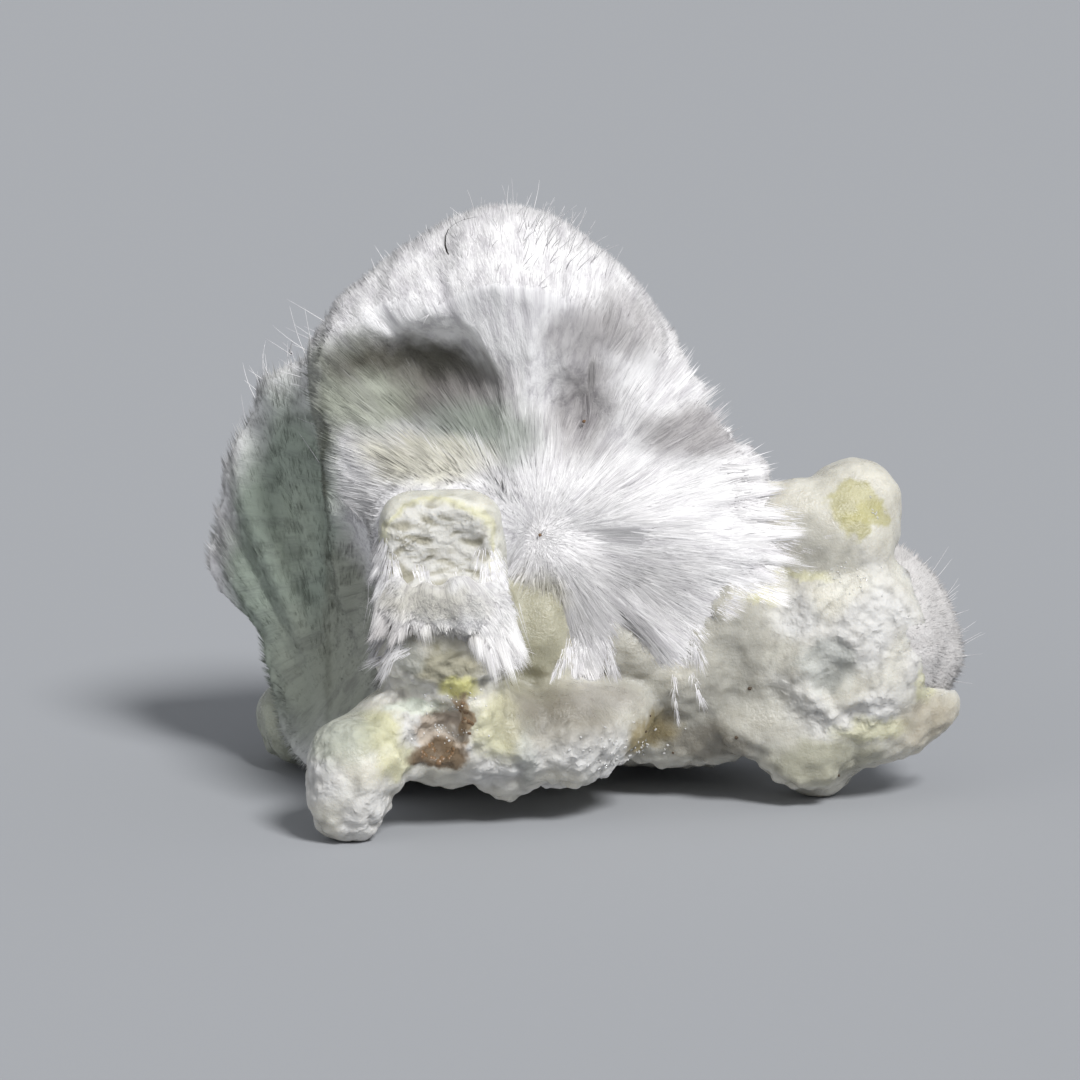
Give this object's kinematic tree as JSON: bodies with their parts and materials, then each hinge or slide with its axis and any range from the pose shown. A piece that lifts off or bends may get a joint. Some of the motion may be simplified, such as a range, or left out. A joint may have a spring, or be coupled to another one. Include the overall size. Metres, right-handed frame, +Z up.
{
  "type": "okenite puffball",
  "caption": "Broken ball of white radiating okenite fibres, grown with smaller furry balls on a knobbly chalcedony crust, a loose mineral specimen that rests on its own feet.",
  "frame": {"origin": "under the middle of the specimen's box, on the surface that it rests on", "axes": "+Z up, +X right along its longest side, -Y towards the viewer of the broken face"},
  "size_m": [0.035, 0.0232, 0.0276],
  "materials": {
    "okenite": "silky white radiating fibres with a furry outer coat, sage green in the shade of the left side",
    "chalcedony": "translucent grey-cream chalcedony under a matt white knobbly crust, with yellow-green patches and a brown pocket"
  },
  "bodies": {
    "root": {"matrix": "chalcedony", "twin_puffball": "okenite", "side_puffball": "okenite", "front_tuft": "okenite"}
  },
  "joints": []
}
